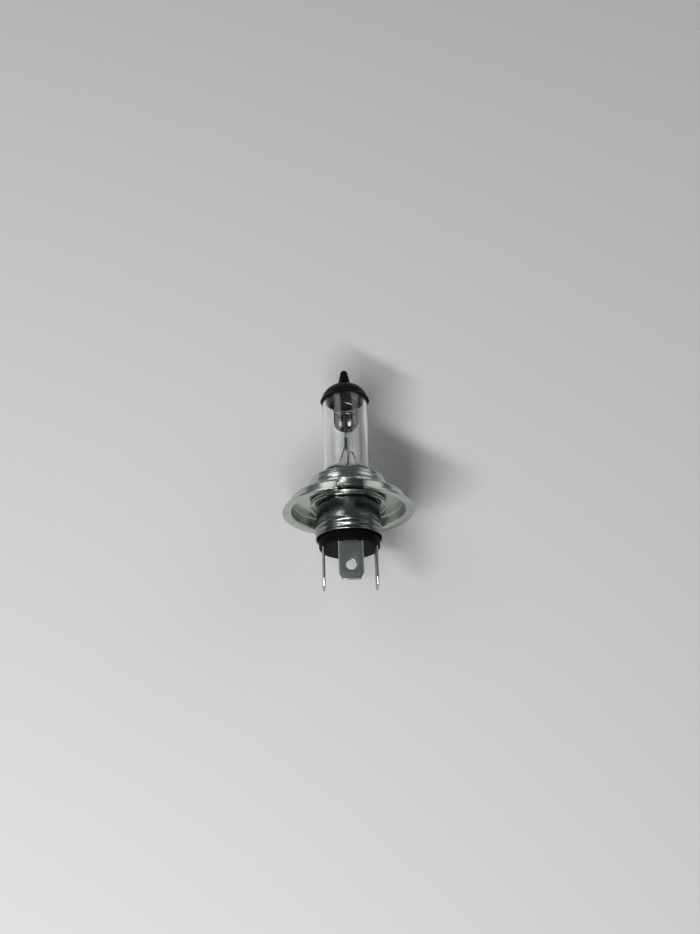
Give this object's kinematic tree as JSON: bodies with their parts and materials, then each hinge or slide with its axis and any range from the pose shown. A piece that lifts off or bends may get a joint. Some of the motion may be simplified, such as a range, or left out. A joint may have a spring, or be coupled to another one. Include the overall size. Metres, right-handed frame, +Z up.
{
  "type": "headlight bulb",
  "caption": "Halogen headlight bulb with a clear capsule, black top, prefocus flange with locating lugs, and a blade-terminal base.",
  "frame": {"origin": "on the lamp axis, in the rear plane of the flange's 43 mm brim", "axes": "+Y along the lamp axis toward the glass tip, +Z up through the wide lug and the top blade, +X to the right seen from behind the blades"},
  "size_m": [0.043, 0.0781, 0.043],
  "materials": {
    "bright_nickel": "pressed steel with a bright, slightly green-grey nickel plating",
    "dark_shell": "drawn steel sleeve with a darker, smooth plating",
    "blade_metal": "matt tin-plated blade with bright sheared edges",
    "black_plastic": "moulded black thermoset, satin",
    "clear_glass": "clear hard glass, fire polished",
    "black_coating": "black heat-proof paint, satin",
    "molybdenum": "bare molybdenum sheet and wire, bright",
    "tungsten": "grey tungsten wire"
  },
  "bodies": {
    "root": {"prefocus_flange": "bright_nickel", "upper_collar": "bright_nickel", "centring_ring": "bright_nickel", "base_shell": "dark_shell", "insulator_disc": "black_plastic", "terminal_top": "blade_metal", "terminal_right": "blade_metal", "terminal_left": "blade_metal", "glass_capsule": "clear_glass", "black_top_coating": "black_coating", "pinch_clamp": "bright_nickel", "clamp_carrier": "bright_nickel", "low_beam_filament": "tungsten", "high_beam_filament": "tungsten", "low_beam_shield": "molybdenum", "common_support_wire": "molybdenum", "low_beam_inner_lead": "molybdenum", "high_beam_inner_lead": "molybdenum", "common_sealing_foil": "molybdenum", "common_outer_lead": "molybdenum", "low_beam_sealing_foil": "molybdenum", "low_beam_outer_lead": "molybdenum", "high_beam_sealing_foil": "molybdenum", "high_beam_outer_lead": "molybdenum"}
  },
  "joints": []
}
